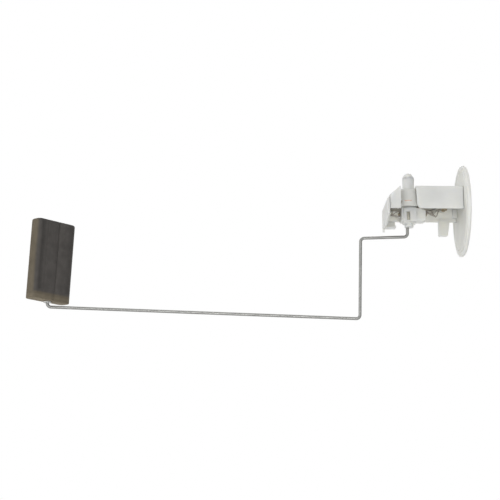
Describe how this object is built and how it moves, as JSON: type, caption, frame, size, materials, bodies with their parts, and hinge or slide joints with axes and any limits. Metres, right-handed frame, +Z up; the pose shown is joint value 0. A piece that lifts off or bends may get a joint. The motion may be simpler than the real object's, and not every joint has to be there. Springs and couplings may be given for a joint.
{
  "type": "fuel level sender",
  "caption": "Fuel level sender: round flange, open housing with resistor card and contacts, bent wire arm and a block float.",
  "frame": {"origin": "centre of the flange's flat outer face", "axes": "+X out of the flange, away from the housing; +Z up along the arm's pivot axis; the arm lies towards -X"},
  "size_m": [0.284, 0.06, 0.1027],
  "materials": {
    "natural_acetal": "satin, natural white, slightly translucent",
    "terminal_brass": "satin",
    "card_ceramic": "matt fired ceramic",
    "washer_bronze": "satin",
    "contact_spring": "tarnished satin",
    "contact_button": "satin",
    "arm_wire": "drawn wire",
    "float_rubber": "matt moulded foam rubber"
  },
  "bodies": {
    "sender": {"flange_disc": "natural_acetal", "terminal_block": "natural_acetal", "terminal_1": "terminal_brass", "terminal_2": "terminal_brass", "terminal_3": "terminal_brass", "housing": "natural_acetal", "end_guard": "natural_acetal", "resistor_card": "card_ceramic", "card_rivet_1": "terminal_brass", "card_rivet_2": "terminal_brass", "card_rivet_3": "terminal_brass", "spindle_cap": "natural_acetal", "thrust_washer": "washer_bronze"},
    "arm": {"rotor": "natural_acetal", "wire_clamp": "natural_acetal", "wiper_spring": "contact_spring", "ground_spring": "contact_spring", "wiper_rivet": "terminal_brass", "ground_rivet": "terminal_brass", "wiper_button_front": "contact_button", "wiper_button_rear": "contact_button", "ground_button": "contact_button", "wire_arm": "arm_wire", "float_cap_nut": "arm_wire"},
    "float": {"float": "float_rubber", "float_bush_lower": "natural_acetal", "float_bush_upper": "natural_acetal"}
  },
  "joints": [
    {"name": "arm_swing", "type": "hinge", "parent": "sender", "child": "arm", "pos_m": [-0.0363, 0, 0], "axis": [0, 0, 1], "range_deg": [-35, 35]},
    {"name": "float_spin", "type": "hinge", "parent": "arm", "child": "float", "pos_m": [-0.2709, 0, -0.06525], "axis": [0.0523, 0, 0.9986], "continuous": true}
  ]
}
